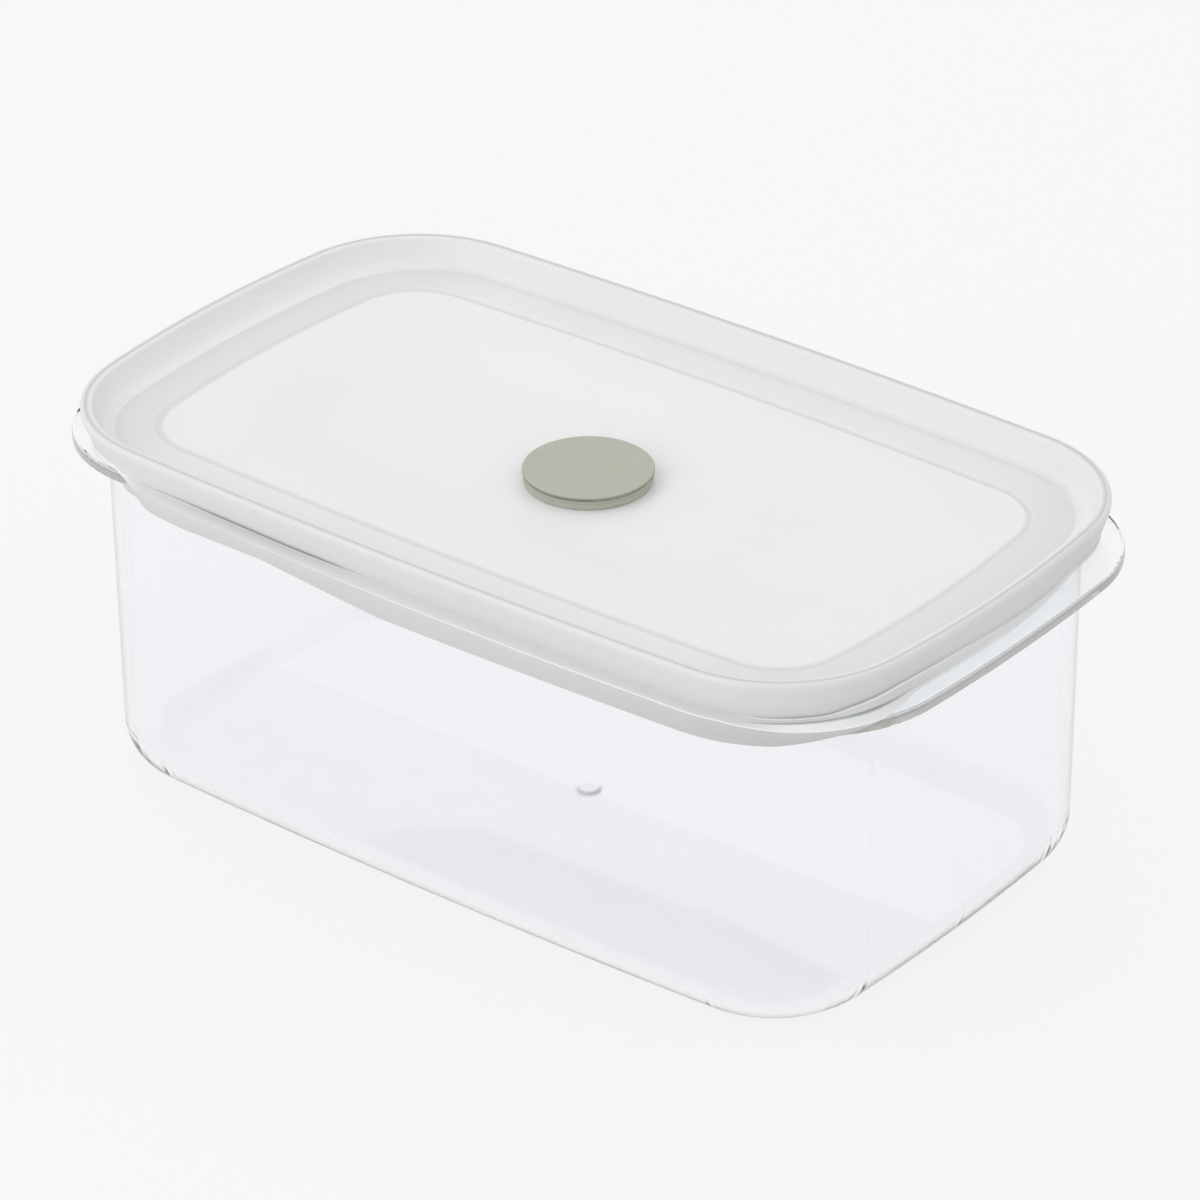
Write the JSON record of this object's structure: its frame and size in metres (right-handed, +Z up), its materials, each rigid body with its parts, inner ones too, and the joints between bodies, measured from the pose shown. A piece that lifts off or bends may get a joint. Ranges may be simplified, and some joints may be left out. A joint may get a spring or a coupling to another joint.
{
  "type": "vacuum seal canister",
  "caption": "Clear rectangular food canister with end flanges, a lift-off milky lid with a recessed top and grip flaps, and a round grey valve button that lets air in.",
  "frame": {"origin": "centre of the tub's flat resting face", "axes": "+Z up, +X along the long sides towards the end that the picture shows at the right, front long side towards -Y"},
  "size_m": [0.2498, 0.1492, 0.0968],
  "materials": {
    "clear_plastic": "clear, polished",
    "milky_plastic": "satin, slightly translucent",
    "pale_silicone": "soft, matte",
    "grey_button": "fine matte",
    "grey_silicone": "soft, matte",
    "white_plastic": "satin"
  },
  "bodies": {
    "tub": {"tub": "clear_plastic"},
    "lid": {"lid": "milky_plastic", "lid_gasket": "pale_silicone"},
    "valve": {"valve_button": "grey_button", "valve_seal": "grey_silicone", "valve_stem": "white_plastic", "valve_retainer": "white_plastic"}
  },
  "joints": [
    {"name": "lid_lift", "type": "slide", "parent": "tub", "child": "lid", "axis": [0, 0, 1], "range_m": [0, 0.12]},
    {"name": "valve_lift", "type": "slide", "parent": "lid", "child": "valve", "axis": [0, 0, 1], "range_m": [0, 0.0025]}
  ]
}
